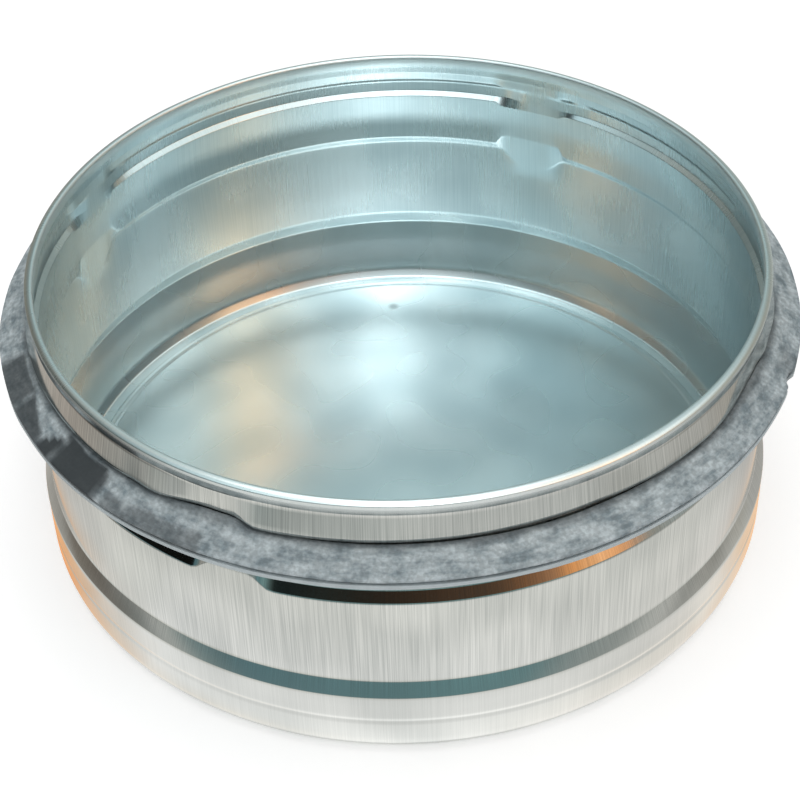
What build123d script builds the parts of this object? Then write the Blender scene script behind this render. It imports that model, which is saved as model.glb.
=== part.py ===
from build123d import *
import os
from math import cos, radians, sin

os.makedirs("parts", exist_ok=True)

# Drawn sheet: one thickness everywhere, doubled where the hem is folded back
sheet = 0.6
spigot_radius = 62.0
wall_inner = spigot_radius - sheet

# Heights counted down from the rim: rim, folded skirt, band, groove and its two flanks
cap_height = 53.0
rim_depth = 2.0
skirt_length = 5.4
band_overlap = 1.0
flank_height = 1.3
groove_width = 9.4
low_flank_height = 1.1
rim_crease_height = cap_height - rim_depth
skirt_edge_height = rim_crease_height - skirt_length
band_low_height = skirt_edge_height - band_overlap
groove_top_height = band_low_height - flank_height
groove_low_height = groove_top_height - groove_width
wall_top_height = groove_low_height - low_flank_height

# Rim: its outer side stands inside the spigot's, and its top edge is bevelled on both sides
rim_setback = 0.8
rim_width = 1.3
rim_bevel_height = 0.5
rim_bevel_width = 0.4
crease_width = 1.0
rim_radius = spigot_radius - rim_setback
rim_inner = rim_radius - rim_width

# How far the sheet's inner side stands inside the wall's, where it is formed and in the plain strips
band_depth = 0.5
groove_depth = 1.1
plain_band_depth = 1.3
plain_top_depth = 1.2
plain_low_depth = 0.7
plain_wall_depth = 0.55
flank_shift = 0.25

# Folded skirt: flares past the spigot, less so in the plain strips
skirt_flare = 0.1
plain_skirt_fall = 0.75
formed_skirt_radius = spigot_radius + skirt_flare
plain_skirt_radius = formed_skirt_radius - plain_skirt_fall

# Four plain strips between the tool's segments, with a short web of sheet on each side
gap_count = 4
gap_first_angle = 64.3
gap_width_angle = 12.0
web_angle = 0.6

# Pan: stop shoulder, collar, base corner and raised floor panel
collar_step = 1.4
collar_height = 13.3
shoulder_length = 2.9
shoulder_steps = 4
base_corner_radius = 3.7
corner_steps = 4
base_ring_width = 1.5
panel_slope = 0.8
panel_rise = 0.8
collar_radius = spigot_radius + collar_step
shoulder_low_height = collar_height
shoulder_top_height = collar_height + shoulder_length
corner_centre = collar_radius - base_corner_radius
panel_foot = corner_centre - base_ring_width
panel_radius = panel_foot - panel_slope

# Rubber ring with two lips, seated in the groove under the hem's cut edge
hem_gap = 0.35
ring_width = 4.85
ring_top_inset = 0.2
ring_low_inset = 0.3
lip_reach = 4.8
lip_drop = 2.5
lip_edge_thickness = 0.5
lip_notch_depth = 3.4
lip_notch_rise = 0.55
second_edge_drop = 0.8
second_edge_thickness = 0.6
second_root_step = 0.4
second_root_drop = 0.05
ring_back_depth = 2.0
seat_clearance = 0.05
ring_top_height = skirt_edge_height - hem_gap
ring_low_height = ring_top_height - ring_width
lip_radius = spigot_radius + lip_reach
lip_edge_height = ring_top_height - lip_drop
lip_notch_radius = lip_radius - lip_notch_depth
second_edge_height = lip_edge_height - second_edge_drop


def turned_plane(angle):
    """Upright plane through the axis with its own x along the given azimuth."""
    turn = radians(angle)
    return Plane(origin=(0, 0, 0), x_dir=(cos(turn), sin(turn), 0), z_dir=(sin(turn), -cos(turn), 0))


def between(plain, formed, share):
    """Value between the plain strip's and the formed wall's."""
    return plain + share * (formed - plain)


def outer_side(share, clearance):
    """Outer side of the single sheet from the shoulder up to the hem's cut edge."""
    top = spigot_radius - between(plain_top_depth, groove_depth, share) + clearance
    low = spigot_radius - between(plain_low_depth, groove_depth, share) + clearance
    wall = spigot_radius - between(plain_wall_depth, 0.0, share) + clearance
    band = spigot_radius - between(plain_band_depth, band_depth, share) + clearance
    return [
        (spigot_radius + clearance, shoulder_top_height),
        (wall, wall_top_height + flank_shift),
        (low, groove_low_height + flank_shift),
        (top, groove_top_height - flank_shift),
        (band, band_low_height - flank_shift),
        (band, skirt_edge_height),
    ]


def shoulder_line(depth):
    """S-shaped flare from the wall to the collar, at a depth inside the outer side."""
    points = []
    for step in range(shoulder_steps + 1):
        part = step / shoulder_steps
        ease = part * part * (3 - 2 * part)
        radius = spigot_radius - depth + ease * (collar_radius - spigot_radius)
        points.append((radius, shoulder_top_height + part * (shoulder_low_height - shoulder_top_height)))
    return points


def corner_line(depth):
    """Quarter round from the base ring up to the collar, at a depth inside the outer side."""
    points = []
    for step in range(corner_steps + 1):
        turn = radians(90.0 * step / corner_steps)
        reach = base_corner_radius - depth
        points.append((corner_centre + reach * sin(turn), base_corner_radius - reach * cos(turn)))
    return points


def wall_outline(share):
    """Closed outline of the wall with the folded skirt, from the shoulder to the rim's crease."""
    inner = [
        (rim_inner, rim_crease_height),
        (wall_inner - between(plain_band_depth, band_depth, share), band_low_height),
        (wall_inner - between(plain_top_depth, groove_depth, share), groove_top_height),
        (wall_inner - between(plain_low_depth, groove_depth, share), groove_low_height),
        (wall_inner - between(plain_wall_depth, 0.0, share), wall_top_height),
        (wall_inner, shoulder_top_height),
    ]
    skirt = [
        (between(plain_skirt_radius, formed_skirt_radius, share), skirt_edge_height),
        (rim_inner + crease_width, rim_crease_height),
    ]
    return inner + outer_side(share, 0.0) + skirt


def wall_sectors():
    """Start angle, arc and share of every stretch of the wall, seen from above counter-clockwise."""
    sectors = []
    for number in range(gap_count):
        pitch = 360.0 / gap_count
        gap_end = gap_first_angle + number * pitch + gap_width_angle / 2
        gap_start = gap_end - gap_width_angle
        sectors.append((gap_end, pitch - gap_width_angle, 1.0))
        sectors.append((gap_start - web_angle, gap_width_angle + 2 * web_angle, 0.0))
        sectors.append((gap_start - web_angle, web_angle, 0.5))
        sectors.append((gap_end, web_angle, 0.5))
    return sectors


# One drawn and pressed piece of sheet: pan, formed wall and folded rim
with BuildPart() as pressed_shell:
    with BuildSketch(Plane.XZ):
        with BuildLine():
            collar_inner = collar_radius - sheet
            Polyline(
                (0, panel_rise),
                (panel_radius, panel_rise),
                (panel_foot, 0),
                (corner_centre, 0),
            )
            Polyline(*corner_line(0.0))
            Line((collar_radius, base_corner_radius), (collar_radius, shoulder_low_height))
            Polyline(*shoulder_line(0.0))
            Line((spigot_radius, shoulder_top_height), (wall_inner, shoulder_top_height))
            Polyline(*shoulder_line(sheet))
            Line((collar_inner, shoulder_low_height), (collar_inner, base_corner_radius))
            Polyline(*corner_line(sheet))
            Polyline(
                (corner_centre, sheet),
                (panel_foot, sheet),
                (panel_radius, panel_rise + sheet),
                (0, panel_rise + sheet),
                (0, panel_rise),
            )
        make_face()
    revolve(axis=Axis.Z)
    with BuildSketch(Plane.XZ):
        with BuildLine():
            rim_shoulder = cap_height - rim_bevel_height
            Polyline(
                (rim_inner, rim_crease_height),
                (rim_inner + crease_width, rim_crease_height),
                (rim_radius, rim_crease_height + rim_width - crease_width),
                (rim_radius, rim_shoulder),
                (rim_radius - rim_bevel_width, cap_height),
                (rim_inner + rim_bevel_width, cap_height),
                (rim_inner, rim_shoulder),
                close=True,
            )
        make_face()
    revolve(axis=Axis.Z)
    for start_angle, arc_angle, formed_share in wall_sectors():
        with BuildSketch(turned_plane(start_angle)):
            with BuildLine():
                Polyline(*wall_outline(formed_share), close=True)
            make_face()
        revolve(axis=Axis.Z, revolution_arc=arc_angle)
pressed_shell.part.label = "pressed_shell"
export_step(pressed_shell.part, "parts/pressed_shell.step")

# Rubber ring: cut to the shell's own outer side, so that it fills the groove and passes the plain strips
with BuildPart() as rubber_seal:
    with BuildSketch(Plane.XZ):
        with BuildLine():
            Polyline(
                (spigot_radius - ring_back_depth, ring_top_height),
                (formed_skirt_radius - ring_top_inset, ring_top_height),
                (lip_radius, lip_edge_height),
                (lip_radius, lip_edge_height - lip_edge_thickness),
                (lip_notch_radius, lip_edge_height + lip_notch_rise),
                (lip_radius, second_edge_height),
                (lip_radius, second_edge_height - second_edge_thickness),
                (spigot_radius + second_root_step, second_edge_height - second_root_drop),
                (spigot_radius - ring_low_inset, ring_low_height),
                (spigot_radius - ring_back_depth, ring_low_height),
                close=True,
            )
        make_face()
    revolve(axis=Axis.Z)
    for start_angle, arc_angle, formed_share in wall_sectors():
        with BuildSketch(turned_plane(start_angle)):
            with BuildLine():
                seat = outer_side(formed_share, seat_clearance)
                core_radius = spigot_radius - 2 * ring_back_depth
                Polyline(
                    (core_radius, shoulder_top_height),
                    *seat,
                    (core_radius, skirt_edge_height),
                    close=True,
                )
            make_face()
        revolve(axis=Axis.Z, revolution_arc=arc_angle, mode=Mode.SUBTRACT)
rubber_seal.part.label = "rubber_seal"
export_step(rubber_seal.part, "parts/rubber_seal.step")
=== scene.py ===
"""Duct end cap: a drawn, galvanised sheet pan with a folded rim and a two-lip rubber seal."""

import logging
import math
from collections.abc import Callable
from dataclasses import dataclass
from enum import Enum

import bpy
from mathutils import Matrix, Vector, noise


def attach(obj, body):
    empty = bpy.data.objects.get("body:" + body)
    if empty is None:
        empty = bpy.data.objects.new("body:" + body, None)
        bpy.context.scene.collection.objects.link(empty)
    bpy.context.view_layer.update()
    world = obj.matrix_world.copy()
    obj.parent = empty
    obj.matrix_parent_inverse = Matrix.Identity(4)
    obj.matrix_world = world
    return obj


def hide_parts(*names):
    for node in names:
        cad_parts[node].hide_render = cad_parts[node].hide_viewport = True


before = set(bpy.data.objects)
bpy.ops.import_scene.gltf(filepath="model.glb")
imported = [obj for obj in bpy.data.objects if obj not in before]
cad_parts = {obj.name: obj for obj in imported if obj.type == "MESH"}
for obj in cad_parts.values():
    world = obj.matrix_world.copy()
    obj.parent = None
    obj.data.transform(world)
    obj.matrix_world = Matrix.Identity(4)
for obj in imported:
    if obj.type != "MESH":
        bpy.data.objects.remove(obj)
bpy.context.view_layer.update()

LOG = logging.getLogger("duct_end_cap")
MM = 0.001

# Points closer than this are one point, in metres
WELD = 0.002 * MM

# A rounding takes at most this share of the straight runs beside it
RUN_SHARE = 0.45

# Most of a noise's values lie between these two
NOISE_LOW, NOISE_HIGH = 0.3, 0.7

Point = tuple[float, float]


# Small helpers for outlines, meshes and nodes


class Side(Enum):
    """Which face of the sheet a patch belongs to."""

    OUTER = 0
    INNER = 1


class Strip(Enum):
    """How a stretch of the wall was treated by the forming tool."""

    FORMED = "formed"
    PLAIN = "plain"


@dataclass(frozen=True)
class Corner:
    """One corner of a turned outline: radius and height in mm, and how far its rounding reaches."""

    radius: float
    height: float
    soft: float = 0.0


@dataclass(frozen=True)
class Bend:
    """A corner whose place differs between the formed wall and the plain strips."""

    formed: Corner
    plain: Corner

    def at(self, strip: Strip) -> Corner:
        """The corner for one kind of strip."""
        return self.formed if strip is Strip.FORMED else self.plain


@dataclass(frozen=True)
class Fineness:
    """How finely a turned piece is divided: longest edge in mm, steps of a rounding and a turn."""

    longest_edge: float
    arc_steps: int = 3
    segments: int = 360


def bend(radius: float, height: float, soft: float = 0.0,
         plain_radius: float | None = None, plain_height: float | None = None) -> Bend:
    """Makes a bend, the same in both strips unless told otherwise.

    Args:
        radius: radius in mm where the wall is formed.
        height: height in mm where the wall is formed.
        soft: reach of the rounding in mm.
        plain_radius: radius in mm in the plain strips.
        plain_height: height in mm in the plain strips.

    Returns:
        The bend.
    """
    plain = Corner(
        radius if plain_radius is None else plain_radius,
        height if plain_height is None else plain_height,
        soft,
    )
    return Bend(Corner(radius, height, soft), plain)


def span_counts(corners: list[Corner], longest: float) -> list[int]:
    """Number of edges for each straight run, so that none is longer than asked.

    Args:
        corners: the outline's corners.
        longest: the longest edge in mm.

    Returns:
        One count for each run between neighbouring corners.
    """
    counts = []
    for first, second in zip(corners[:-1], corners[1:]):
        length = math.hypot(second.radius - first.radius, second.height - first.height)
        counts.append(max(1, math.ceil(length / longest)))
    return counts


def soften(corners: list[Corner], counts: list[int], arc_steps: int) -> list[Point]:
    """Rounds the corners of an outline and divides its straight runs.

    Args:
        corners: the outline's corners, the ends included.
        counts: edges for each straight run.
        arc_steps: edges for each rounded corner.

    Returns:
        Points as (radius, height) in mm.
    """
    places = [Vector((corner.radius, corner.height)) for corner in corners]
    arcs: list[list[Vector]] = []
    for index, corner in enumerate(corners):
        here = places[index]
        if corner.soft <= 0 or index in (0, len(corners) - 1):
            arcs.append([here])
            continue
        back = places[index - 1] - here
        ahead = places[index + 1] - here
        reach = min(corner.soft, RUN_SHARE * back.length, RUN_SHARE * ahead.length)
        start = here + back.normalized() * reach
        end = here + ahead.normalized() * reach
        arc = []
        for step in range(arc_steps + 1):
            part = step / arc_steps
            arc.append(start.lerp(here, part).lerp(here.lerp(end, part), part))
        arcs.append(arc)
    points: list[Point] = []
    for index, arc in enumerate(arcs):
        points.extend((spot.x, spot.y) for spot in arc)
        if index + 1 < len(arcs):
            first, last = arc[-1], arcs[index + 1][0]
            for step in range(1, counts[index]):
                spot = first.lerp(last, step / counts[index])
                points.append((spot.x, spot.y))
    return points


def only(piece: bpy.types.Object) -> None:
    """Selects one object alone and makes it active."""
    bpy.ops.object.select_all(action="DESELECT")
    piece.select_set(True)
    bpy.context.view_layer.objects.active = piece


def turn(name: str, outline: list[Point], segments: int) -> bpy.types.Object:
    """Turns an outline about the upright axis into a closed mesh.

    Args:
        name: name of the new object.
        outline: points as (radius, height) in mm, ends on the axis or joined to each other.
        segments: steps round the full turn.

    Returns:
        The new mesh object, its place in its mesh.
    """
    bpy.ops.object.select_all(action="DESELECT")
    bpy.ops.mesh.primitive_plane_add(size=MM, location=(0, 0, 0))
    piece = bpy.context.object
    piece.name = piece.data.name = name
    bpy.ops.object.mode_set(mode="EDIT")
    bpy.ops.mesh.merge(type="CENTER")
    radius, height = outline[0]
    bpy.ops.transform.translate(value=(radius * MM, 0, height * MM))
    for next_radius, next_height in outline[1:]:
        step = ((next_radius - radius) * MM, 0, (next_height - height) * MM)
        bpy.ops.mesh.extrude_vertices_move(TRANSFORM_OT_translate={"value": step})
        radius, height = next_radius, next_height
    bpy.ops.object.mode_set(mode="OBJECT")
    screw = piece.modifiers.new("turning", "SCREW")
    screw.axis = "Z"
    screw.angle = math.tau
    screw.steps = screw.render_steps = segments
    screw.use_merge_vertices = True
    screw.merge_threshold = WELD
    screw.use_smooth_shade = False
    only(piece)
    bpy.ops.object.modifier_apply(modifier="turning")
    bpy.ops.object.mode_set(mode="EDIT")
    bpy.ops.mesh.select_all(action="SELECT")
    bpy.ops.mesh.remove_doubles(threshold=WELD)
    bpy.ops.mesh.normals_make_consistent(inside=False)
    bpy.ops.object.mode_set(mode="OBJECT")
    return piece


def turn_with_strips(name: str, bends: list[Bend], fineness: Fineness,
                     strip_share: Callable[[Vector], float]) -> bpy.types.Object:
    """Turns the formed outline and pulls it to the plain one in the wall's plain strips.

    Args:
        name: name of the new object.
        bends: the outline's bends.
        fineness: how finely it is divided.
        strip_share: how far a place belongs to a plain strip, from 0 to 1.

    Returns:
        The new mesh object.
    """
    formed = [one.at(Strip.FORMED) for one in bends]
    plain = [one.at(Strip.PLAIN) for one in bends]
    counts = span_counts(formed, fineness.longest_edge)
    piece = turn(name, soften(formed, counts, fineness.arc_steps), fineness.segments)
    other = turn(f"{name}_plain", soften(plain, counts, fineness.arc_steps), fineness.segments)
    group = piece.vertex_groups.new(name="plain_strips")
    for vertex in piece.data.vertices:
        share = strip_share(vertex.co)
        if share > 0:
            group.add([vertex.index], share, "REPLACE")
    blend_shapes(piece, other, group.name)
    piece.vertex_groups.clear()
    return piece


def roughen(piece: bpy.types.Object, name: str, grain: float, depth: float) -> None:
    """Moves the surface in and out a little, as handling and pressing leave it.

    Args:
        piece: the mesh object.
        name: name of the displacement.
        grain: size of the unevenness in mm.
        depth: full height of the unevenness in mm.
    """
    cloud = bpy.data.textures.new(name, "CLOUDS")
    cloud.noise_scale = grain * MM
    cloud.noise_depth = 1
    shift = piece.modifiers.new(name, "DISPLACE")
    shift.texture = cloud
    shift.texture_coords = "LOCAL"
    shift.strength = depth * MM
    shift.mid_level = 0.5
    only(piece)
    bpy.ops.object.modifier_apply(modifier=name)


def blend_shapes(piece: bpy.types.Object, other: bpy.types.Object, group: str) -> None:
    """Moves a piece towards another of the same build wherever a vertex group says so.

    Args:
        piece: the mesh that stays.
        other: the same mesh in its other shape, removed afterwards.
        group: vertex group with the share of the other shape.
    """
    only(piece)
    other.select_set(True)
    bpy.context.view_layer.objects.active = piece
    bpy.ops.object.join_shapes()
    key = piece.data.shape_keys.key_blocks[-1]
    key.value = 1.0
    key.vertex_group = group
    only(piece)
    bpy.ops.object.convert(target="MESH")
    bpy.data.objects.remove(other)


def finish_normals(piece: bpy.types.Object, degrees: float) -> None:
    """Shades a piece smooth up to an angle, the broad faces keeping their own direction.

    Args:
        piece: the mesh object.
        degrees: sharper folds than this stay sharp.
    """
    only(piece)
    bpy.ops.object.shade_smooth_by_angle(angle=math.radians(degrees))
    even = piece.modifiers.new("even_normals", "WEIGHTED_NORMAL")
    even.mode = "FACE_AREA"
    even.keep_sharp = True
    bpy.ops.object.modifier_apply(modifier="even_normals")


def along(table: tuple[tuple[float, float], ...], value: float) -> float:
    """Reads a smooth curve given as sorted places and amounts, flat past both ends."""
    if value <= table[0][0]:
        return table[0][1]
    for (first, low), (last, high) in zip(table[:-1], table[1:]):
        if value <= last:
            return low + (high - low) * ramp(value, first, last)
    return table[-1][1]


def ramp(value: float, start: float, end: float) -> float:
    """Smooth step from 0 at start to 1 at end."""
    share = min(1.0, max(0.0, (value - start) / (end - start)))
    return share * share * (3 - 2 * share)


def azimuth(spot: Vector) -> float:
    """Angle of a place round the axis in degrees, from 0 to 360."""
    return math.degrees(math.atan2(spot.y, spot.x)) % 360.0


def away(angle: float, centre: float) -> float:
    """Smallest difference between two azimuths in degrees."""
    return abs((angle - centre + 180.0) % 360.0 - 180.0)


def linear(hex_code: str) -> tuple[float, float, float, float]:
    """Turns an sRGB hex colour into a linear one.

    Args:
        hex_code: six hex digits.

    Returns:
        Linear red, green, blue and an alpha of 1.
    """
    values = []
    for place in (0, 2, 4):
        share = int(hex_code[place:place + 2], 16) / 255
        values.append(share / 12.92 if share <= 0.04045 else ((share + 0.055) / 1.055) ** 2.4)
    return values[0], values[1], values[2], 1.0


def add_node(tree: bpy.types.NodeTree, kind: str, links: dict | None = None,
             values: dict | None = None, **settings: object) -> bpy.types.Node:
    """Adds one node with its settings, values and incoming links.

    Args:
        tree: the node tree.
        kind: the node's type name.
        links: input socket name or number to the output socket that feeds it.
        values: input socket name or number to its value.
        **settings: properties of the node itself.

    Returns:
        The new node.
    """
    node = tree.nodes.new(kind)
    for key, value in settings.items():
        setattr(node, key, value)
    for key, value in (values or {}).items():
        node.inputs[key].default_value = value
    for key, socket in (links or {}).items():
        tree.links.new(socket, node.inputs[key])
    return node


def blank_material(name: str) -> tuple[bpy.types.Material, bpy.types.NodeTree]:
    """A material with an empty node tree."""
    material = bpy.data.materials.new(name)
    material.use_nodes = True
    material.node_tree.nodes.clear()
    return material, material.node_tree


# Finishes


@dataclass(frozen=True)
class GalvanisedSheet:
    """Hot-dip galvanised steel, cold drawn: zinc grey with fine straight lines along the draw.

    The die leaves lines that run up the wall, and the eye reads them as a satin grain. The real
    lines are under a tenth of a millimetre apart, too fine to show, so they are drawn 0.2 mm apart.
    The stretched collar below the shoulder stays smooth, and the rolled rim is matter than the
    wall. Broad clouds of brighter and duller zinc come from the dip. The inside's copy has paler,
    teal colours, which paint the light and cool shade inside the pan. Sizes in mm.
    """

    name: str
    bright: str
    dull: str
    roughness: float
    line_pitch: float = 0.2
    line_depth: float = 0.003
    line_share: float = 0.6
    line_stretch: float = 0.012
    wall_radius: float = 62.0
    smooth_share: float = 0.25
    smooth_below: float = 15.5
    smooth_fade: tuple[float, float] = (2.0, 1.0)
    cloud_share: float = 0.3
    cloud_size: float = 11.0
    polish: float = 0.05
    rim: str = "EAF0F0"
    rim_share: float = 0.75
    rim_matt: float = 0.26
    matt_above: float = 50.6
    matt_fade: float = 1.2
    mark: tuple[float, float, float] | None = None
    mark_colour: str = "6C7070"
    mark_share: float = 0.55
    mark_core: float = 0.4
    mark_reach: float = 1.3

    def die_lines(self, tree: bpy.types.NodeTree, place: bpy.types.NodeSocket) -> bpy.types.NodeSocket:
        """Lines that run up the wall, counted round it and hardly changing with height.

        Args:
            tree: the node tree.
            place: object coordinates.

        Returns:
            The lines, from 0 to 1.
        """
        level = add_node(
            tree, "ShaderNodeVectorMath", {0: place}, {1: (1, 1, 0)}, operation="MULTIPLY",
        ).outputs["Vector"]
        around = add_node(
            tree, "ShaderNodeVectorMath", {0: level}, operation="NORMALIZE",
        ).outputs["Vector"]
        rise = add_node(
            tree, "ShaderNodeVectorMath", {0: place}, {1: (0, 0, self.line_stretch / MM)},
            operation="MULTIPLY",
        ).outputs["Vector"]
        stretched = add_node(
            tree, "ShaderNodeVectorMath", {0: around, 2: rise},
            {1: (self.wall_radius, self.wall_radius, 0)}, operation="MULTIPLY_ADD",
        ).outputs["Vector"]
        return add_node(
            tree, "ShaderNodeTexNoise", {"Vector": stretched},
            {"Scale": 1 / self.line_pitch, "Detail": 1.0, "Roughness": 0.5},
        ).outputs["Fac"]

    def brightness(self, tree: bpy.types.NodeTree, place: bpy.types.NodeSocket,
                   lines: bpy.types.NodeSocket, drawn: bpy.types.NodeSocket) -> bpy.types.NodeSocket:
        """How bright the zinc is: the clouds of the dip, with the die's lines over them.

        Args:
            tree: the node tree.
            place: object coordinates.
            lines: the die's lines.
            drawn: how far the lines show.

        Returns:
            The share of bright zinc, from 0 to 1.
        """
        in_mm = add_node(
            tree, "ShaderNodeMapping", {"Vector": place}, {"Scale": (1 / MM, 1 / MM, 1 / MM)},
        ).outputs["Vector"]
        clouds = add_node(
            tree, "ShaderNodeTexNoise", {"Vector": in_mm},
            {"Scale": 1 / self.cloud_size, "Detail": 0.0},
        ).outputs["Fac"]
        line_swing = add_node(
            tree, "ShaderNodeMapRange", {"Value": lines},
            {"From Min": NOISE_LOW, "From Max": NOISE_HIGH,
             "To Min": -self.line_share / 2, "To Max": self.line_share / 2},
        ).outputs["Result"]
        cloud_swing = add_node(
            tree, "ShaderNodeMapRange", {"Value": clouds},
            {"From Min": NOISE_LOW, "From Max": NOISE_HIGH,
             "To Min": 0.5 - self.cloud_share / 2, "To Max": 0.5 + self.cloud_share / 2},
        ).outputs["Result"]
        return add_node(
            tree, "ShaderNodeMath", {0: line_swing, 1: drawn, 2: cloud_swing},
            operation="MULTIPLY_ADD", use_clamp=True,
        ).outputs[0]

    def marked(self, tree: bpy.types.NodeTree, place: bpy.types.NodeSocket,
               zinc: bpy.types.NodeSocket) -> bpy.types.NodeSocket:
        """Lays the small dark spot over the zinc.

        Args:
            tree: the node tree.
            place: object coordinates.
            zinc: colour of the clean zinc.

        Returns:
            The colour with the spot.
        """
        distance = add_node(
            tree, "ShaderNodeVectorMath", {0: place}, {1: [value * MM for value in self.mark]},
            operation="DISTANCE",
        ).outputs["Value"]
        stain = add_node(
            tree, "ShaderNodeMapRange", {"Value": distance},
            {"From Min": self.mark_core * MM, "From Max": self.mark_reach * MM,
             "To Min": self.mark_share, "To Max": 0.0},
        ).outputs["Result"]
        return add_node(
            tree, "ShaderNodeMix", {"Factor": stain, "A": zinc}, {"B": linear(self.mark_colour)},
            data_type="RGBA",
        ).outputs["Result"]

    def make(self) -> bpy.types.Material:
        """Builds the material.

        Returns:
            The finished material.
        """
        material, tree = blank_material(self.name)
        place = add_node(tree, "ShaderNodeTexCoord").outputs["Object"]
        height = add_node(tree, "ShaderNodeSeparateXYZ", {"Vector": place}).outputs["Z"]
        lines = self.die_lines(tree, place)
        drawn = add_node(
            tree, "ShaderNodeMapRange", {"Value": height},
            {"From Min": (self.smooth_below - self.smooth_fade[0]) * MM,
             "From Max": (self.smooth_below + self.smooth_fade[1]) * MM,
             "To Min": self.smooth_share, "To Max": 1.0},
        ).outputs["Result"]
        share = self.brightness(tree, place, lines, drawn)
        wall_zinc = add_node(
            tree, "ShaderNodeMix", {"Factor": share},
            {"A": linear(self.dull), "B": linear(self.bright)}, data_type="RGBA",
        ).outputs["Result"]
        on_rim = add_node(
            tree, "ShaderNodeMapRange", {"Value": height},
            {"From Min": self.matt_above * MM, "From Max": (self.matt_above + self.matt_fade) * MM,
             "To Min": 0.0, "To Max": self.rim_share},
        ).outputs["Result"]
        zinc = add_node(
            tree, "ShaderNodeMix", {"Factor": on_rim, "A": wall_zinc}, {"B": linear(self.rim)},
            data_type="RGBA",
        ).outputs["Result"]
        if self.mark:
            zinc = self.marked(tree, place, zinc)
        matt = add_node(
            tree, "ShaderNodeMath", {0: on_rim}, {1: self.rim_matt, 2: self.roughness},
            operation="MULTIPLY_ADD",
        ).outputs[0]
        roughness = add_node(
            tree, "ShaderNodeMath", {0: share, 2: matt}, {1: -self.polish}, operation="MULTIPLY_ADD",
        ).outputs[0]
        dents = add_node(
            tree, "ShaderNodeBump", {"Height": lines, "Strength": drawn},
            {"Distance": self.line_depth * MM},
        ).outputs["Normal"]
        shader = add_node(
            tree, "ShaderNodeBsdfPrincipled",
            {"Base Color": zinc, "Roughness": roughness, "Normal": dents},
            {"Metallic": 1.0},
        )
        add_node(tree, "ShaderNodeOutputMaterial", {"Surface": shader.outputs["BSDF"]})
        return material


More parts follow.
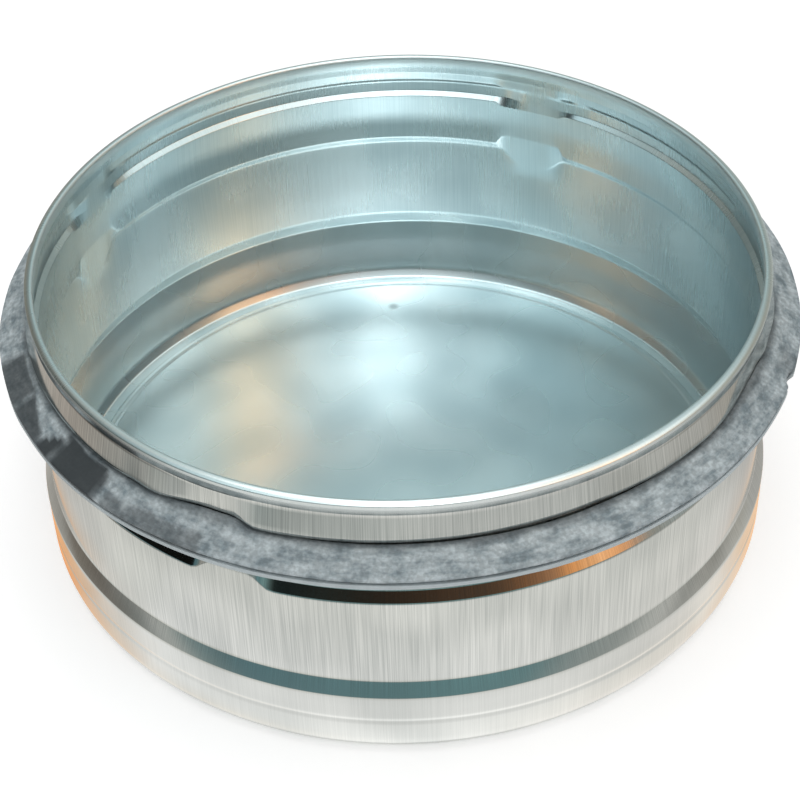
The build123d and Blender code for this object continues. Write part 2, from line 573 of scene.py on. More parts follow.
@dataclass(frozen=True)
class TalcedRubber:
    """Moulded EPDM rubber, dusted with talc: a matt blue-grey bloom over black, rubbed off in places.

    The bloom lies in streaks along the ring, and where a hand or a pipe has rubbed it away the
    rubber shows nearly black with a faint sheen. The lower lip's edge is painted pale as a
    highlight, and the ring's root under the skirt is painted dark as shade. The powder itself is
    far too fine to show, so its specks are drawn 0.7 mm wide. Sizes in mm.
    """

    name: str
    # Pale talc colour, also used for the painted highlight on the lower lip's edge
    talc_and_highlight: str = "CAD4D7"
    grey: str = "7C8A90"
    # Dark bare rubber, also used as the painted shade at the ring's root
    bare_and_shade: str = "33383B"
    roughness: float = 0.62
    streak_size: float = 1.1
    streak_length: float = 4.0
    blotch_size: float = 3.4
    speck_size: float = 0.7
    ring_radius: float = 66.0
    pore_depth: float = 0.05

    # How thick the bloom lies, and how dark and light its specks are
    BLOOM_BAND = (0.38, 0.6)
    BLOOM_SHARE = 0.85
    SPECK_BAND = (0.4, 0.62)
    SPECK_SHADES = (0.72, 1.12)
    SPECK_SHARE = 0.7

    def make(self) -> bpy.types.Material:
        """Builds the material.

        Returns:
            The finished material.
        """
        material, tree = blank_material(self.name)
        place = add_node(tree, "ShaderNodeTexCoord").outputs["Object"]
        in_mm = add_node(
            tree, "ShaderNodeMapping", {"Vector": place}, {"Scale": (1 / MM, 1 / MM, 1 / MM)},
        ).outputs["Vector"]
        level = add_node(
            tree, "ShaderNodeVectorMath", {0: in_mm}, {1: (1, 1, 0)}, operation="MULTIPLY",
        ).outputs["Vector"]
        radius = add_node(tree, "ShaderNodeVectorMath", {0: level}, operation="LENGTH").outputs["Value"]
        around = add_node(
            tree, "ShaderNodeVectorMath", {0: level}, operation="NORMALIZE",
        ).outputs["Vector"]
        across = add_node(
            tree, "ShaderNodeCombineXYZ", {"Z": radius}, {"X": 0.0, "Y": 0.0},
        ).outputs["Vector"]
        squashed = add_node(
            tree, "ShaderNodeVectorMath", {0: around, 2: across},
            {1: (self.ring_radius / self.streak_length, self.ring_radius / self.streak_length, 0)},
            operation="MULTIPLY_ADD",
        ).outputs["Vector"]
        streaks = add_node(
            tree, "ShaderNodeTexNoise", {"Vector": squashed},
            {"Scale": 1 / self.streak_size, "Detail": 3.0, "Roughness": 0.6},
        ).outputs["Fac"]
        blotches = add_node(
            tree, "ShaderNodeTexNoise", {"Vector": in_mm},
            {"Scale": 1 / self.blotch_size, "Detail": 4.0, "Roughness": 0.62},
        ).outputs["Fac"]
        specks = add_node(
            tree, "ShaderNodeTexNoise", {"Vector": in_mm},
            {"Scale": 1 / self.speck_size, "Detail": 2.0},
        ).outputs["Fac"]
        mixed = add_node(
            tree, "ShaderNodeMix", {"A": streaks, "B": blotches}, {"Factor": 0.5},
        ).outputs["Result"]
        bloom = add_node(
            tree, "ShaderNodeMapRange", {"Value": mixed},
            {"From Min": self.BLOOM_BAND[0], "From Max": self.BLOOM_BAND[1],
             "To Min": 0.0, "To Max": self.BLOOM_SHARE},
        ).outputs["Result"]
        dusted = add_node(
            tree, "ShaderNodeMix", {"Factor": bloom},
            {"A": linear(self.grey), "B": linear(self.talc_and_highlight)}, data_type="RGBA",
        ).outputs["Result"]
        fleck = add_node(
            tree, "ShaderNodeMapRange", {"Value": specks},
            {"From Min": self.SPECK_BAND[0], "From Max": self.SPECK_BAND[1],
             "To Min": self.SPECK_SHADES[0], "To Max": self.SPECK_SHADES[1]},
        ).outputs["Result"]
        speckled = add_node(
            tree, "ShaderNodeMix", {"A": dusted, "B": fleck}, {"Factor": self.SPECK_SHARE},
            data_type="RGBA", blend_type="MULTIPLY",
        ).outputs["Result"]
        # Bare rubber where the talc is worn off, and painted shade at the ring's root under the skirt
        rubbed_and_shade = add_node(
            tree, "ShaderNodeAttribute", attribute_name=RubberSeal.RUBBED_AND_SHADE,
        ).outputs["Fac"]
        rubbed_off_and_shaded = add_node(
            tree, "ShaderNodeMix", {"Factor": rubbed_and_shade, "A": speckled},
            {"B": linear(self.bare_and_shade)}, data_type="RGBA",
        ).outputs["Result"]
        # Painted highlight: the lower lip's edge is lightened to the pale talc colour, with one real fleck
        # of thick powder
        powder_and_highlight = add_node(
            tree, "ShaderNodeAttribute", attribute_name=RubberSeal.POWDER_AND_HIGHLIGHT,
        ).outputs["Fac"]
        colour = add_node(
            tree, "ShaderNodeMix", {"Factor": powder_and_highlight, "A": rubbed_off_and_shaded},
            {"B": linear(self.talc_and_highlight)}, data_type="RGBA",
        ).outputs["Result"]
        pores = add_node(
            tree, "ShaderNodeBump", {"Height": specks},
            {"Strength": 0.5, "Distance": self.pore_depth * MM},
        ).outputs["Normal"]
        shader = add_node(
            tree, "ShaderNodeBsdfPrincipled",
            {"Base Color": colour, "Normal": pores},
            {"Roughness": self.roughness, "IOR": 1.5},
        )
        add_node(tree, "ShaderNodeOutputMaterial", {"Surface": shader.outputs["BSDF"]})
        return material


# Pieces


@dataclass
class PressedShell:
    """The one-piece pan: floor, collar, stop shoulder, wall, groove and folded rim. Sizes in mm."""

    name: str = "drawn_shell"
    sheet: float = 0.6
    height: float = 52.95
    foot: float = 0.04
    wall_outer: float = 62.0
    collar_outer: float = 63.4
    rim_outer: float = 61.2
    rim_inner: float = 59.82
    corner_radius: float = 3.68
    panel_top: float = 1.4
    panel_under: float = 0.8
    strip_count: int = 4
    first_strip: float = 64.3
    fineness: Fineness = Fineness(longest_edge=5.0)
    wave_size: float = 26.0
    wave_depth: float = 0.08
    smooth_angle: float = 40.0

    # Where the outer side and the folded skirt begin: radius and height
    OUTER_SIDE = 60.65
    SKIRT_AND_BAND = 43.7

    # Half width of a plain strip and how softly it ends, in degrees, outside and inside
    OUTER_STRIP = (4.6, 1.7)
    INNER_STRIP = (6.0, 0.7)

    # How the skirt runs down to a strip on its left and back on its right, in degrees, and
    # the one strip where it gives way less
    SKIRT_DOWN = (-13.0, -2.2)
    SKIRT_BACK = (0.8, 5.2)
    STIFF_STRIP = 3
    STIFF_SHARE = 0.55

    # The skirt's lower edge, its crease and its inner side, how high the unevenness reaches, the
    # most that its edge can go in before it meets the wall, and how far it climbs instead
    SKIRT_EDGE = 45.3
    SKIRT_CREASE = 50.8
    SKIRT_INSIDE = 60.6
    SKIRT_REACH = 4.6
    MOST_INWARDS = -0.35
    CLIMB = 0.85

    # A face is on the inner side where it looks at the axis, or up from the floor
    LOOKS_IN = 0.35
    LOOKS_UP = 0.3
    FLOOR_BELOW = 5.0
    FLOOR_RADIUS = 62.9

    # The folded skirt's lower edge isn't quite round: how far in mm it sits in or out by azimuth
    SKIRT_SHIFT = (
        (225.0, 0.0), (229.0, -0.15), (233.5, 0.1), (238.0, 0.0), (249.0, 0.05),
        (262.0, -0.2), (276.0, -0.4), (288.0, -0.62), (296.0, -0.7), (303.0, -0.3), (309.0, -0.08),
        (319.0, 0.0), (326.0, -0.2), (342.0, -0.25), (348.0, 0.0),
    )

    def corner(self, thickness: float) -> list[Bend]:
        """The rounded corner between collar and base, from the collar down.

        Args:
            thickness: how far this face lies inside the outer one.

        Returns:
            The bends on the corner's arc.
        """
        radius = self.corner_radius - thickness
        centre_radius = self.collar_outer - 0.05 - self.corner_radius
        centre_height = self.foot + self.corner_radius
        spots = []
        for degrees in (0.0, 22.5, 45.0, 67.5, 90.0):
            turned = math.radians(degrees)
            spots.append(bend(centre_radius + radius * math.cos(turned),
                              centre_height - radius * math.sin(turned), 0.6))
        return spots

    def bends(self) -> list[Bend]:
        """The section's bends, from the floor's middle up the inside and down the outside.

        Returns:
            The bends in order.
        """
        wall_inner = self.wall_outer - self.sheet
        inside = [
            bend(0.0, self.panel_top),
            bend(56.3, self.panel_top, 0.3),
            bend(56.9, self.panel_top + 0.15, 0.3),
            bend(57.7, self.panel_top + 0.1, 0.35),
            bend(58.3, self.foot + self.sheet, 0.3),
            bend(60.1, 0.74, 0.3),
            bend(61.2, 2.3, 0.5),
            bend(61.6, 4.2, 0.8),
            bend(61.9, 6.6, 1.0),
            bend(62.2, 9.6, 1.0),
            bend(62.85, 12.95, 0.35),
            bend(wall_inner - 0.05, 16.05, 0.4),
            bend(wall_inner - 0.12, 21.5, 2.2),
            bend(wall_inner - 0.02, 28.0, 2.2),
            bend(wall_inner + 0.1, 33.1, 0.4, wall_inner - 0.25, 30.5),
            bend(60.36, 34.5, 0.35, 60.62, 36.5),
            bend(60.62, 38.9, 1.6, 60.55, 39.9),
            bend(60.1, 44.15, 0.1, 60.2, 43.2),
            bend(60.98, 44.87, 0.1, 60.15, 44.9),
            bend(60.96, 46.9, 0.3, 60.12, 46.9),
            bend(60.45, 47.75, 0.3, 60.05, 47.75),
            bend(60.2, 49.1, 0.12, 60.0, 49.1),
            bend(60.12, 49.3, 0.1, 59.98, 49.3),
            bend(60.02, 50.6, 0.4),
            bend(self.rim_inner + 0.04, 51.6, 0.5),
        ]
        rim = [
            bend(self.rim_inner, self.height - 0.35, 0.25),
            bend(60.2, self.height, 0.25),
            bend(60.8, self.height - 0.18, 0.2),
            bend(self.rim_outer + 0.05, self.height - 0.5, 0.1),
            bend(self.rim_outer + 0.03, self.height - 1.1, 0.15),
            bend(61.05, 50.35, 0.4, 60.95, 50.35),
        ]
        outside = [
            bend(61.95, 46.85, 0.5, 61.15, 47.6),
            bend(62.08, 46.2, 0.35, 61.2, 47.0),
            bend(61.85, 45.6, 0.2, 61.05, 46.55),
            bend(61.36, 45.6, 0.05, 60.72, 46.55),
            bend(61.34, 44.4, 0.3, 60.72, 44.4),
            bend(61.3, 43.1, 0.4, 60.9, 42.4),
            bend(60.7, 35.1, 0.3, 61.45, 36.9),
            bend(self.wall_outer, 33.1, 0.25, self.wall_outer - 0.12, 35.4),
            bend(self.wall_outer, 16.2, 0.3),
            bend(self.collar_outer, 13.3, 0.3),
            bend(self.collar_outer - 0.05, 10.6, 1.2),
            bend(self.collar_outer, 8.75, 0.3),
            bend(self.collar_outer - 0.17, 8.15, 0.2),
            bend(self.collar_outer - 0.02, 7.5, 0.3),
            *self.corner(0.0),
            bend(58.2, self.foot, 0.35),
            bend(57.5, self.panel_under, 0.35),
            bend(0.0, self.panel_under),
        ]
        return inside + rim + outside

    def strip_share(self, spot: Vector) -> float:
        """How far a place belongs to one of the four plain strips, from 0 to 1.

        The groove's ends taper off outside; the folded skirt runs down slowly on the left of a
        strip and drops quickly on its right.
        """
        pitch = 360.0 / self.strip_count
        turned = azimuth(spot)
        number = round((turned - self.first_strip) / pitch) % self.strip_count
        off = (turned - self.first_strip - pitch * number + 180.0) % 360.0 - 180.0
        outside = math.hypot(spot.x, spot.y) > self.OUTER_SIDE * MM
        if outside and spot.z > self.SKIRT_AND_BAND * MM:
            give = self.STIFF_SHARE if number == self.STIFF_STRIP else 1.0
            return give * ramp(off, *self.SKIRT_DOWN) * (1.0 - ramp(off, *self.SKIRT_BACK))
        half, ease = self.OUTER_STRIP if outside else self.INNER_STRIP
        return 1.0 - ramp(abs(off), half - ease, half + ease)

    def shift_skirt(self, shell: bpy.types.Object) -> None:
        """Moves the folded skirt's lower edge in, out or up as the uneven fold has left it."""
        for vertex in shell.data.vertices:
            spot = vertex.co
            radius = math.hypot(spot.x, spot.y)
            if self.SKIRT_EDGE * MM < spot.z < self.SKIRT_CREASE * MM and radius > self.SKIRT_INSIDE * MM:
                share = ramp(self.SKIRT_CREASE * MM - spot.z, 0.0, self.SKIRT_REACH * MM)
                shift = along(self.SKIRT_SHIFT, azimuth(spot))
                inwards = max(shift, self.MOST_INWARDS)
                grown = 1 + inwards * MM * share / radius
                spot.x *= grown
                spot.y *= grown
                spot.z += (inwards - shift) * self.CLIMB * MM * share

    def side(self, face: bpy.types.MeshPolygon) -> Side:
        """Tells whether a face looks into the cap or out of it."""
        centre = face.center
        radius = math.hypot(centre.x, centre.y)
        if radius == 0:
            return Side.INNER if face.normal.z > 0 else Side.OUTER
        inward = -(face.normal.x * centre.x + face.normal.y * centre.y) / radius
        low = centre.z < self.FLOOR_BELOW * MM and radius < self.FLOOR_RADIUS * MM
        on_floor = low and face.normal.z > self.LOOKS_UP
        return Side.INNER if inward > self.LOOKS_IN or on_floor else Side.OUTER

    def build(self) -> bpy.types.Object:
        """Builds the shell's mesh.

        Returns:
            The mesh object.
        """
        shell = turn_with_strips(self.name, self.bends(), self.fineness, self.strip_share)
        self.shift_skirt(shell)
        roughen(shell, "pressing_waves", self.wave_size, self.wave_depth)
        finish_normals(shell, self.smooth_angle)
        return shell

    def dress(self, shell: bpy.types.Object, outer: GalvanisedSheet, inner: GalvanisedSheet) -> None:
        """Gives the shell its outer finish and, inside, a copy whose colours paint the light and cool shade
        there.

        Args:
            shell: the mesh object.
            outer: finish of the outer side.
            inner: the same finish for the inner side, in paler teal colours that paint its light and shade.
        """
        shell.data.materials.clear()
        shell.data.materials.append(outer.make())
        shell.data.materials.append(inner.make())
        for face in shell.data.polygons:
            face.material_index = self.side(face).value


@dataclass
class RubberSeal:
    """The ring with its two lips, seated under the folded skirt. Sizes in mm."""

    name: str = "lip_seal"
    lip_radius: float = 66.68
    fineness: Fineness = Fineness(longest_edge=0.9)
    wave_size: float = 9.0
    wave_depth: float = 0.22
    smooth_angle: float = 50.0

    # Worn talc with painted shade at the root; powder with a painted highlight on the lower lip's edge
    RUBBED_AND_SHADE = "rubbed_and_shade"
    POWDER_AND_HIGHLIGHT = "powder_and_highlight"

    # The small nick in the lip's edge: azimuth, depth, half width in degrees at its floor and at
    # its mouth, and the radii between which it deepens
    NICK_AZIMUTH = 338.0
    NICK_DEPTH = 0.8
    NICK_WIDTHS = (0.5, 2.2)
    NICK_RADII = (65.5, 66.7)

    # Where the talc is rubbed off: azimuth from and to, inner radius at both, share
    BARE_PATCHES = (
        (193.5, 203.0, 62.6, 62.6, 0.8),
        (203.0, 210.5, 62.8, 65.2, 0.85),
        (211.0, 215.0, 65.4, 62.6, 0.97),
        (215.0, 225.3, 62.2, 62.2, 0.97),
        (226.5, 243.0, 64.7, 64.3, 0.6),
        (338.0, 343.0, 64.0, 64.0, 0.35),
    )
    PATCH_EDGE_DEGREES = 0.6
    PATCH_EDGE = 0.3

    # How much the patches' edges waver: grain, swing in degrees round the ring and across it
    WAVER_GRAIN = 4.0
    WAVER_ROUND = 1.2
    WAVER_ACROSS = 0.5

    # The ring's root beside the skirt, painted dark as the shade under the skirt's edge: radii, heights and
    # share
    ROOT_SHADE_RADII = (62.0, 63.1)
    ROOT_SHADE_HEIGHTS = (44.0, 44.6)
    ROOT_SHADE_SHARE = 0.55

    # Painted highlight on the lower lip's edge, and one fleck of thick powder at an azimuth and a
    # radius, where a degree round the ring counts as three millimetres across it
    EDGE_HIGHLIGHT_RADII = (66.0, 66.4)
    EDGE_HIGHLIGHT_LOW = (41.1, 41.2)
    EDGE_HIGHLIGHT_TOP = (42.12, 42.22)
    FLECK = (230.3, 65.0)
    FLECK_SIZE = (0.5, 1.6)
    FLECK_SQUEEZE = 3
    POWDER_AND_HIGHLIGHT_SHARE = 0.8

    def bends(self) -> list[Bend]:
        """The section's bends, round the ring's closed outline.

        Returns:
            The bends in order, the first repeated at the end.
        """
        lip = self.lip_radius
        return [
            bend(61.42, 43.6, 0.0, 61.05),
            bend(61.42, 44.6, 0.1, 60.95, 44.6),
            bend(61.42, 45.3, 0.1, 60.95, 46.25),
            bend(62.2, 45.3, 0.25, 61.6, 46.2),
            bend(64.0, 44.35, 0.8, 63.7, 44.4),
            bend(lip, 43.0, 0.25),
            bend(lip, 42.62, 0.12),
            bend(65.4, 42.6, 0.2),
            bend(64.4, 42.42, 0.1),
            bend(65.4, 42.05, 0.2),
            bend(lip, 42.02, 0.1),
            bend(lip - 0.05, 41.2, 0.12),
            bend(62.6, 41.6, 0.5),
            bend(61.7, 40.6, 0.3),
            bend(61.38, 40.6, 0.1, 61.45, 40.6),
            bend(61.42, 43.6, 0.0, 61.05),
        ]

    def build(self, shell: PressedShell) -> bpy.types.Object:
        """Builds the ring's mesh.

        Args:
            shell: the shell that carries it, for its plain strips.

        Returns:
            The mesh object.
        """
        ring = turn_with_strips(self.name, self.bends(), self.fineness, shell.strip_share)
        self.nick(ring)
        roughen(ring, "lip_waves", self.wave_size, self.wave_depth)
        finish_normals(ring, self.smooth_angle)
        return ring

    def nick(self, ring: bpy.types.Object) -> None:
        """Presses in the small nick in the lip's edge at the right."""
        first, last = self.NICK_RADII
        for vertex in ring.data.vertices:
            spot = vertex.co
            radius = math.hypot(spot.x, spot.y)
            beside = 1 - ramp(away(azimuth(spot), self.NICK_AZIMUTH), *self.NICK_WIDTHS)
            depth = self.NICK_DEPTH * beside * ramp(radius, first * MM, last * MM)
            spot.x *= 1 - depth * MM / radius
            spot.y *= 1 - depth * MM / radius

    def rubbed_and_shade_share(self, spot: Vector) -> float:
        """How far the talc is rubbed off at a place, with painted shade at the ring's root, from 0 to 1."""
        grain = noise.noise(spot / (self.WAVER_GRAIN * MM))
        turned = azimuth(spot) + self.WAVER_ROUND * grain
        radius = math.hypot(spot.x, spot.y) / MM + self.WAVER_ACROSS * grain
        # Painted shade at the ring's root, under the skirt's edge
        root = (1 - ramp(radius, *self.ROOT_SHADE_RADII)) * ramp(spot.z / MM, *self.ROOT_SHADE_HEIGHTS)
        share = self.ROOT_SHADE_SHARE * root
        edge = self.PATCH_EDGE_DEGREES
        for start, end, inner_start, inner_end, strength in self.BARE_PATCHES:
            part = min(1.0, max(0.0, (turned - start) / (end - start)))
            inner = inner_start + (inner_end - inner_start) * part
            inside = ramp(turned, start - edge, start + edge) * (1 - ramp(turned, end - edge, end + edge))
            beyond = ramp(radius, inner - self.PATCH_EDGE, inner + self.PATCH_EDGE)
            share = max(share, strength * inside * beyond)
        return share

    def powder_and_highlight_share(self, spot: Vector) -> float:
        """How pale a place is painted: a painted highlight on the lower lip's edge, and thick talc in one
        fleck.
        """
        radius = math.hypot(spot.x, spot.y) / MM
        height = spot.z / MM
        # Painted highlight along the lower lip's edge
        edge = ramp(radius, *self.EDGE_HIGHLIGHT_RADII) * ramp(height, *self.EDGE_HIGHLIGHT_LOW)
        edge *= 1 - ramp(height, *self.EDGE_HIGHLIGHT_TOP)
        fleck_azimuth, fleck_radius = self.FLECK
        along_ring = self.FLECK_SQUEEZE * away(azimuth(spot), fleck_azimuth)
        distance = math.hypot(along_ring, radius - fleck_radius)
        fleck = 1 - ramp(distance, *self.FLECK_SIZE)
        return self.POWDER_AND_HIGHLIGHT_SHARE * max(edge, fleck)

    def dress(self, ring: bpy.types.Object, finish: TalcedRubber) -> None:
        """Gives the ring its finish and marks worn talc, painted shade at its root and a painted highlight
        on the lip's edge.

        Args:
            ring: the mesh object.
            finish: the rubber's finish.
        """
        rubbed_and_shade = ring.data.attributes.new(self.RUBBED_AND_SHADE, "FLOAT", "POINT")
        powder_and_highlight = ring.data.attributes.new(self.POWDER_AND_HIGHLIGHT, "FLOAT", "POINT")
        for vertex in ring.data.vertices:
            rubbed_and_shade.data[vertex.index].value = self.rubbed_and_shade_share(vertex.co)
            powder_and_highlight.data[vertex.index].value = self.powder_and_highlight_share(vertex.co)
        ring.data.materials.clear()
        ring.data.materials.append(finish.make())


# Studio


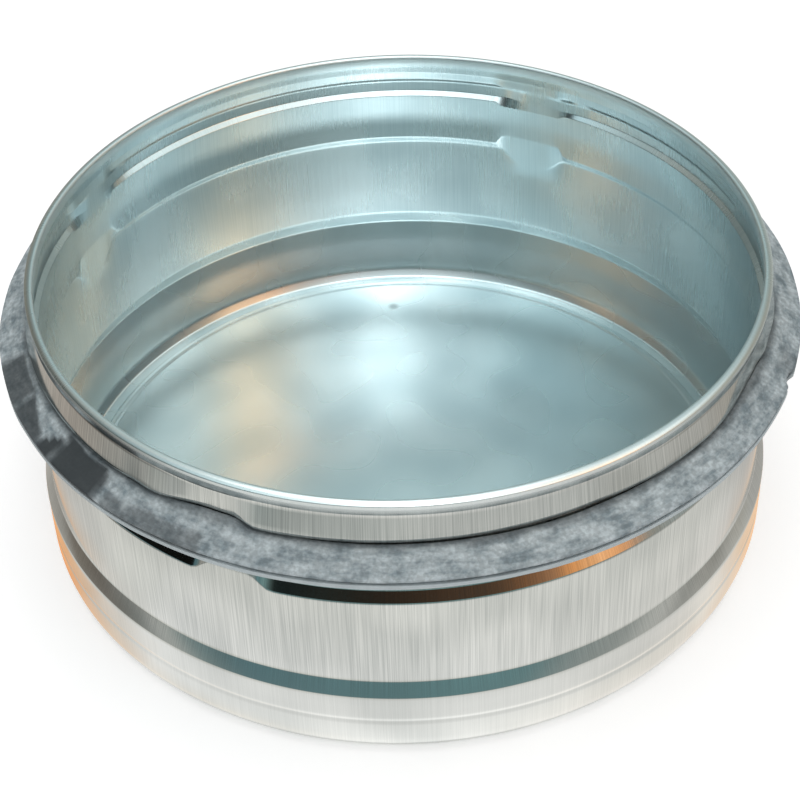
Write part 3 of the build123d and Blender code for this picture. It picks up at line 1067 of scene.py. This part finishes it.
@dataclass
class Studio:
    """Camera, lamps, floor and the room that the metal mirrors."""

    camera_place: tuple[float, float, float] = (0.0, -258.5, 243.8)
    focal_pixels: float = 1942.56
    frame_pixels: float = 800.0
    sensor: float = 36.0
    pitch: float = 40.969
    roll: float = 1.9925
    yaw: float = -0.097
    clip_start: float = 0.01
    floor_edge: float = 6.0
    floor_colour: str = "F6F6F6"
    floor_glow: float = 0.42
    world_fill: float = 0.55

    # Soft lamps: name, place and edge of the square in metres, power in watts
    LAMPS = (
        ("top_softbox", (-0.05, -0.05, 1.2), 0.8, 3.0),
        ("front_softbox", (0.06, -0.66, 0.90), 0.2, 0.75),
    )
    LAMP_AIM = (0, 0, 0.03)

    def camera(self) -> None:
        """Sets the camera where the photograph was taken from."""
        pitch, roll, yaw = (math.radians(value) for value in (self.pitch, self.roll, self.yaw))
        ahead = Vector((math.sin(yaw) * math.cos(pitch), math.cos(yaw) * math.cos(pitch), -math.sin(pitch)))
        right = Vector((math.cos(yaw), -math.sin(yaw), 0))
        down = ahead.cross(right)
        right_rolled = math.cos(roll) * right + math.sin(roll) * down
        down_rolled = -math.sin(roll) * right + math.cos(roll) * down
        turned = Matrix((right_rolled, -down_rolled, -ahead)).transposed()
        data = bpy.data.cameras.new("photo_camera")
        data.sensor_fit = "HORIZONTAL"
        data.sensor_width = self.sensor
        data.lens = self.focal_pixels / self.frame_pixels * self.sensor
        data.clip_start = self.clip_start
        camera = bpy.data.objects.new("photo_camera", data)
        camera.location = Vector(self.camera_place) * MM
        camera.rotation_euler = turned.to_euler()
        bpy.context.scene.collection.objects.link(camera)
        bpy.context.scene.camera = camera

    def lamp(self, name: str, place: tuple[float, float, float], size: float, watts: float) -> None:
        """Adds one soft lamp that looks at the cap.

        Args:
            name: name of the lamp.
            place: position in metres.
            size: edge of its square in metres.
            watts: its power.
        """
        data = bpy.data.lights.new(name, "AREA")
        data.size = size
        data.energy = watts
        lamp = bpy.data.objects.new(name, data)
        lamp.location = place
        aim = Vector(self.LAMP_AIM) - Vector(place)
        lamp.rotation_euler = aim.to_track_quat("-Z", "Y").to_euler()
        bpy.context.scene.collection.objects.link(lamp)

    # What the bright zinc mirrors, ring by ring outwards over the table and up the room:
    # place in metres (radius, height), then azimuth, colour and brightness round the ring
    TABLE = 0.0003
    ROOM_STEP = 5
    ROOM = (
        ((0.0636, TABLE), (
            (0, "FFC694", 1.05), (45, "FFDDBD", 1.0), (90, "FFF4EA", 1.0), (160, "FFAE70", 1.05),
            (200, "FFB478", 1.05), (208, "FFCCA0", 1.1), (216, "FFE0C4", 1.15), (228, "FFF8F0", 1.2),
            (270, "FFFFFF", 1.45), (312, "FFF8F2", 1.25), (330, "FFE4CC", 1.15), (343, "FFCFA4", 1.1),
        )),
        ((0.0672, TABLE), (
            (0, "F4CFA8", 1.0), (45, "FFDDBD", 1.0), (90, "FFF4EA", 1.0), (160, "E8B488", 1.0),
            (190, "F0BC8C", 1.0), (203, "F4D0B0", 1.0), (214, "F8ECE0", 1.1), (228, "FFFFFF", 1.15),
            (270, "FFFFFF", 1.3), (325, "FFF8F0", 1.15), (343, "F8DCC0", 1.05),
        )),
        ((0.0705, TABLE), (
            (0, "D8CEC4", 1.0), (90, "FFF4EA", 1.0), (180, "D8C8B8", 1.0), (195, "E0D4C8", 1.0),
            (208, "F8F4F0", 1.0), (225, "FFFFFF", 1.1), (270, "FFFFFF", 1.15), (335, "F4F0EC", 1.05),
            (348, "E0D8D0", 1.0),
        )),
        ((0.0750, TABLE), (
            (0, "C8C6C2", 1.0), (90, "F4F2EE", 1.0), (178, "CCC8C2", 1.0), (195, "E8E6E2", 1.0),
            (210, "F8F8F4", 1.0), (225, "FFFFFF", 1.05), (270, "FFFFFF", 1.05), (335, "F4F2EE", 1.0),
        )),
        ((0.0920, TABLE), (
            (0, "C8C6C2", 1.0), (12, "A4A09A", 1.0), (40, "E4E4E0", 1.0), (140, "E4E4E0", 1.0),
            (168, "A4A09A", 1.0), (182, "B4B0AA", 1.0), (198, "ECECE8", 1.0), (270, "FFFFFC", 1.0),
            (342, "ECECE8", 1.0),
        )),
        ((0.1000, TABLE), (
            (0, "C8C4BC", 1.0), (40, "F0F0EC", 1.0), (140, "DCD8D2", 1.0), (172, "B8B2AA", 1.0),
            (184, "827A72", 1.0), (192, "8C857C", 1.0), (205, "D8D6D2", 1.0), (220, "F4F4F0", 1.0),
            (270, "FCFCFA", 1.0), (340, "E4E2DE", 1.0), (354, "C8C4BC", 1.0),
        )),
        ((0.1180, TABLE), (
            (0, "B8B4AC", 1.0), (40, "F0F0EC", 1.0), (140, "DCD8D2", 1.0), (168, "C8C2BA", 1.0),
            (178, "A8A098", 1.0), (188, "807870", 1.0), (196, "7A736C", 1.0), (206, "96928C", 1.0),
            (220, "ECECE8", 1.0), (270, "FAFAF8", 1.0), (325, "DCDAD6", 1.0), (346, "A8A6A0", 1.0),
        )),
        ((0.1450, TABLE), (
            (0, "C4C0B8", 1.0), (11, "BCB8B0", 1.0), (40, "E4E4E0", 1.0), (150, "C0B8B0", 1.0),
            (170, "BCB4AC", 1.0), (188, "BCB4AC", 1.0), (197, "A4A4A0", 1.0), (204, "888C8A", 1.0),
            (214, "A0A4A2", 1.0), (228, "DCDEDC", 1.0), (305, "E8E8E6", 1.0), (322, "C8C8C4", 1.0),
            (337, "A8A8A4", 1.0), (350, "C0BCB6", 1.0),
        )),
        ((0.1680, TABLE), (
            (0, "C4C0B8", 1.0), (40, "D0D0CA", 1.0), (150, "B0A8A0", 1.0), (180, "B8B0A8", 1.0),
            (197, "C0BCB6", 1.0), (210, "BCBEBC", 1.0), (228, "D4D8D6", 1.0), (305, "DCDEDC", 1.0),
            (343, "D4D2CE", 1.0),
        )),
        ((0.1920, TABLE), (
            (0, "B0ACA4", 1.0), (40, "C8C8C2", 1.0), (150, "9A928A", 1.0), (190, "A09C96", 1.0),
            (210, "C4C6C2", 1.0), (228, "CCD0CE", 1.0), (305, "D0D4D2", 1.0), (332, "D4D4D0", 1.0),
            (350, "B4B0A8", 1.0),
        )),
        ((0.2500, TABLE), (
            (0, "B4B4AC", 1.0), (30, "BCBCB0", 1.0), (90, "A4A498", 1.0), (140, "7C786C", 1.0),
            (170, "6A8084", 1.0), (205, "7E9698", 1.0), (215, "869EA0", 1.0), (250, "9CA2A0", 1.0),
            (300, "A4AAA8", 1.0), (328, "A4AAA8", 1.0),
        )),
        ((0.4200, TABLE), (
            (0, "B0B4AE", 1.0), (90, "BCC6C5", 1.0), (140, "7C7C70", 1.0), (170, "64848C", 1.0),
            (230, "64848C", 1.0), (255, "98A4A4", 1.0), (300, "A4AEAE", 1.0),
        )),
        ((1.4000, TABLE), (
            (0, "A8B2B1", 1.0), (90, "BCC6C5", 1.0), (140, "7C7C70", 1.0), (170, "64848C", 1.0),
            (300, "6C9094", 1.0),
        )),
        ((1.399, 0.060), (
            (0, "A8B2B1", 1.0), (90, "BCC6C5", 1.0), (140, "7C7C70", 1.0), (165, "4A5C60", 1.0),
            (190, "1A1E1E", 1.0), (212, "1A1E1E", 1.0), (222, "64848C", 1.1), (300, "6C9094", 1.2),
            (318, "A8896C", 1.0), (328, "D89A64", 1.0), (345, "A8B2B1", 1.0),
        )),
        ((1.386, 0.190), (
            (0, "B8BDBC", 1.0), (90, "BCC6C5", 1.0), (140, "8A8478", 1.0), (165, "4A5C60", 1.0),
            (185, "161716", 1.0), (212, "161716", 1.0), (225, "688488", 1.3), (250, "789696", 1.35),
            (305, "789696", 1.35), (342, "AEB4B2", 1.0),
        )),
        ((1.369, 0.291), (
            (0, "AAA698", 1.0), (90, "A8B4B3", 1.0), (140, "8A887C", 1.0), (165, "2C3432", 1.0),
            (178, "100F0D", 1.0), (215, "100F0D", 1.0), (232, "3A4A4C", 1.0), (250, "668080", 1.3),
            (300, "789696", 1.2), (318, "B0906C", 1.0), (328, "FFB070", 1.2), (342, "B0AA9C", 1.0),
        )),
        ((1.339, 0.409), (
            (0, "A09684", 1.0), (90, "92A2A1", 1.0), (150, "6C6C66", 1.0), (172, "1C1B18", 1.0),
            (185, "0C0B0A", 1.0), (235, "0C0B0A", 1.0), (255, "2A2822", 1.0), (290, "4A4236", 1.0),
            (308, "A0673B", 1.0), (316, "FFA454", 1.5), (328, "FFC08C", 3.6), (338, "C09A78", 1.0),
        )),
        ((1.298, 0.524), (
            (0, "9C9384", 1.0), (90, "8C9E9E", 1.0), (150, "6C6C66", 1.0), (174, "1C1B18", 1.0),
            (195, "0C0B0A", 1.0), (235, "0E0C0A", 1.0), (252, "281608", 1.0), (270, "402008", 1.0),
            (290, "6E3A18", 1.0), (305, "A8642C", 1.0), (316, "FFA454", 1.1), (328, "FFC08C", 2.8),
            (338, "DCA878", 1.0), (350, "AB9584", 1.0),
        )),
        ((1.165, 0.776), (
            (0, "9C9888", 1.0), (90, "8EA4A4", 1.0), (150, "6C6C66", 1.0), (176, "4A4A44", 1.0),
            (195, "100F0D", 1.0), (235, "0E0C0A", 1.0), (252, "281608", 1.0), (270, "402008", 1.0),
            (290, "6E3A18", 1.0), (305, "A8642C", 1.0), (316, "FFA454", 1.1), (328, "FFC08C", 2.8),
            (338, "DCA878", 1.0), (350, "AB9C8C", 1.0),
        )),
        ((1.072, 0.900), (
            (0, "DCE6E6", 1.8), (26, "D0DCDC", 1.25), (45, "B4C4C6", 0.95), (90, "A8BEC0", 1.25),
            (135, "9CB4B6", 0.95), (154, "B4AEA4", 0.8), (172, "A0B6BA", 0.8), (190, "B4CACE", 1.15),
            (222, "C8DEE2", 1.75), (250, "F0FCFF", 1.75), (285, "F0FCFF", 1.95), (305, "E4EEEE", 1.9),
            (328, "FFD8B0", 2.2), (345, "E4E8E2", 1.8),
        )),
        ((0.850, 1.112), (
            (0, "DCE6E6", 1.6), (45, "C0D0D2", 1.0), (90, "B4CACC", 1.25), (154, "B8BCB4", 0.95),
            (190, "B4CCD0", 1.1), (230, "CCE0E4", 1.6), (270, "F4FEFF", 1.75), (305, "E4F0F2", 1.8),
            (328, "F4E0C8", 1.7),
        )),
        ((0.560, 1.283), (
            (0, "D4E2E4", 1.0), (90, "B8CCCE", 1.0), (180, "CCE0E2", 1.0), (270, "F0FAFC", 1.1),
        )),
        ((0.250, 1.378), (
            (0, "E4F2F4", 0.9), (90, "DCECEE", 0.82), (180, "E4F2F4", 0.95), (270, "F0FAFC", 0.9),
        )),
        ((0.010, 1.400), (
            (0, "EEF8FA", 0.85), (90, "EEF8FA", 0.85), (270, "EEF8FA", 0.85),
        )),
    )

    @staticmethod
    def glow(stops: tuple[tuple[float, str, float], ...], angle: float) -> list[float]:
        """Light of the room's ring at an azimuth, between the two stops beside it.

        Args:
            stops: azimuth, colour and brightness of each stop, the first at 0.
            angle: the azimuth in degrees, from 0 to 360.

        Returns:
            Linear red, green, blue and an alpha of 1.
        """
        wrapped = (*stops, (360, *stops[0][1:]))
        pairs = zip(wrapped[:-1], wrapped[1:])
        low, high = next(pair for pair in pairs if pair[0][0] <= angle <= pair[1][0])
        share = ramp(angle, low[0], high[0])
        mixed = [a * low[2] * (1 - share) + b * high[2] * share
                 for a, b in zip(linear(low[1])[:3], linear(high[1])[:3])]
        return [*mixed, 1.0]

    def room(self) -> None:
        """Adds the room that only reflections see: a pale table, a dark low room and a warm window."""
        azimuths = list(range(0, 360, self.ROOM_STEP))
        spots = []
        glows = []
        for (radius, height), stops in self.ROOM:
            for angle in azimuths:
                turned = math.radians(angle)
                spots.append((radius * math.cos(turned), radius * math.sin(turned), height))
                glows.extend(self.glow(stops, angle))
        count = len(azimuths)
        faces = []
        for row in range(len(self.ROOM) - 1):
            for step in range(count):
                first = row * count + step
                second = row * count + (step + 1) % count
                faces.append((first, second, second + count, first + count))
        mesh = bpy.data.meshes.new("mirror_room")
        mesh.from_pydata(spots, [], faces)
        mesh.attributes.new("glow", "FLOAT_COLOR", "POINT").data.foreach_set("color", glows)
        material, tree = blank_material("mirror_room")
        colour = add_node(tree, "ShaderNodeAttribute", attribute_name="glow").outputs["Color"]
        light = add_node(tree, "ShaderNodeEmission", {"Color": colour}, {"Strength": 1.0})
        add_node(tree, "ShaderNodeOutputMaterial", {"Surface": light.outputs["Emission"]})
        mesh.materials.append(material)
        room = bpy.data.objects.new("mirror_room", mesh)
        bpy.context.scene.collection.objects.link(room)
        room.visible_camera = False
        room.visible_diffuse = False
        room.visible_transmission = False
        room.visible_shadow = False

    @staticmethod
    def seen(tree: bpy.types.NodeTree) -> bpy.types.NodeSocket:
        """Gives 1 to the rays of a lens or a mirror, and 0 to the light that falls on things."""
        path = add_node(tree, "ShaderNodeLightPath")
        return add_node(
            tree, "ShaderNodeMath", {0: path.outputs["Is Camera Ray"], 1: path.outputs["Is Glossy Ray"]},
            operation="MAXIMUM",
        ).outputs[0]

    def floor(self) -> None:
        """Adds the pale floor, which keeps the cap's shadow."""
        bpy.ops.object.select_all(action="DESELECT")
        bpy.ops.mesh.primitive_plane_add(size=self.floor_edge, location=(0, 0, 0))
        floor = bpy.context.object
        floor.name = "floor"
        material, tree = blank_material("pale_floor")
        shader = add_node(
            tree, "ShaderNodeBsdfPrincipled", None,
            {"Base Color": linear(self.floor_colour), "Roughness": 0.9, "Specular IOR Level": 0.0},
        )
        lift = add_node(
            tree, "ShaderNodeMath", {0: self.seen(tree)}, {1: self.floor_glow}, operation="MULTIPLY",
        ).outputs[0]
        glow = add_node(tree, "ShaderNodeEmission", {"Strength": lift}, {"Color": (1, 1, 1, 1)})
        both = add_node(
            tree, "ShaderNodeAddShader", {0: shader.outputs["BSDF"], 1: glow.outputs["Emission"]},
        )
        add_node(tree, "ShaderNodeOutputMaterial", {"Surface": both.outputs["Shader"]})
        floor.data.materials.append(material)

    def world(self) -> None:
        """Sets an even world that is white wherever a lens or a mirror sees it."""
        world = bpy.data.worlds.new("studio")
        bpy.context.scene.world = world
        world.use_nodes = True
        tree = world.node_tree
        tree.nodes.clear()
        through = add_node(tree, "ShaderNodeLightPath").outputs["Is Transmission Ray"]
        seen_or_through = add_node(
            tree, "ShaderNodeMath", {0: self.seen(tree), 1: through}, operation="MAXIMUM",
        ).outputs[0]
        strength = add_node(
            tree, "ShaderNodeMapRange", {"Value": seen_or_through},
            {"From Min": 0.0, "From Max": 1.0, "To Min": self.world_fill, "To Max": 1.0},
        ).outputs["Result"]
        back = add_node(tree, "ShaderNodeBackground", {"Strength": strength}, {"Color": (1, 1, 1, 1)})
        add_node(tree, "ShaderNodeOutputWorld", {"Surface": back.outputs["Background"]})

    def build(self) -> None:
        """Sets up the whole studio."""
        self.camera()
        self.world()
        self.floor()
        for name, place, size, watts in self.LAMPS:
            self.lamp(name, place, size, watts)
        self.room()
        view = bpy.context.scene.view_settings
        view.view_transform = "Standard"


def main() -> None:
    """Builds the cap and its studio."""
    logging.basicConfig(level=logging.INFO, format="%(name)s: %(message)s")
    outer = GalvanisedSheet("galvanised_drawn_outside", bright="DCDDD9", dull="B0B3B0", roughness=0.12)
    # The inside's copy has paler, teal colours that paint the light and cool shade inside the pan
    inner = GalvanisedSheet("galvanised_inside_painted_light_and_shade", bright="E8F1F2", dull="CCDADD",
                            roughness=0.30, line_share=0.35, smooth_share=0.0, cloud_share=0.6,
                            mark=(-1.2, 49.5, 1.4))
    shell_maker = PressedShell()
    shell = shell_maker.build()
    shell_maker.dress(shell, outer, inner)
    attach(shell, "root")
    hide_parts("pressed_shell")
    LOG.info("%s: %d faces", shell.name, len(shell.data.polygons))

    seal_maker = RubberSeal()
    ring = seal_maker.build(shell_maker)
    seal_maker.dress(ring, TalcedRubber("talced_epdm_rubber"))
    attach(ring, "root")
    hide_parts("rubber_seal")
    LOG.info("%s: %d faces", ring.name, len(ring.data.polygons))

    Studio().build()


if __name__ == "__main__":
    main()
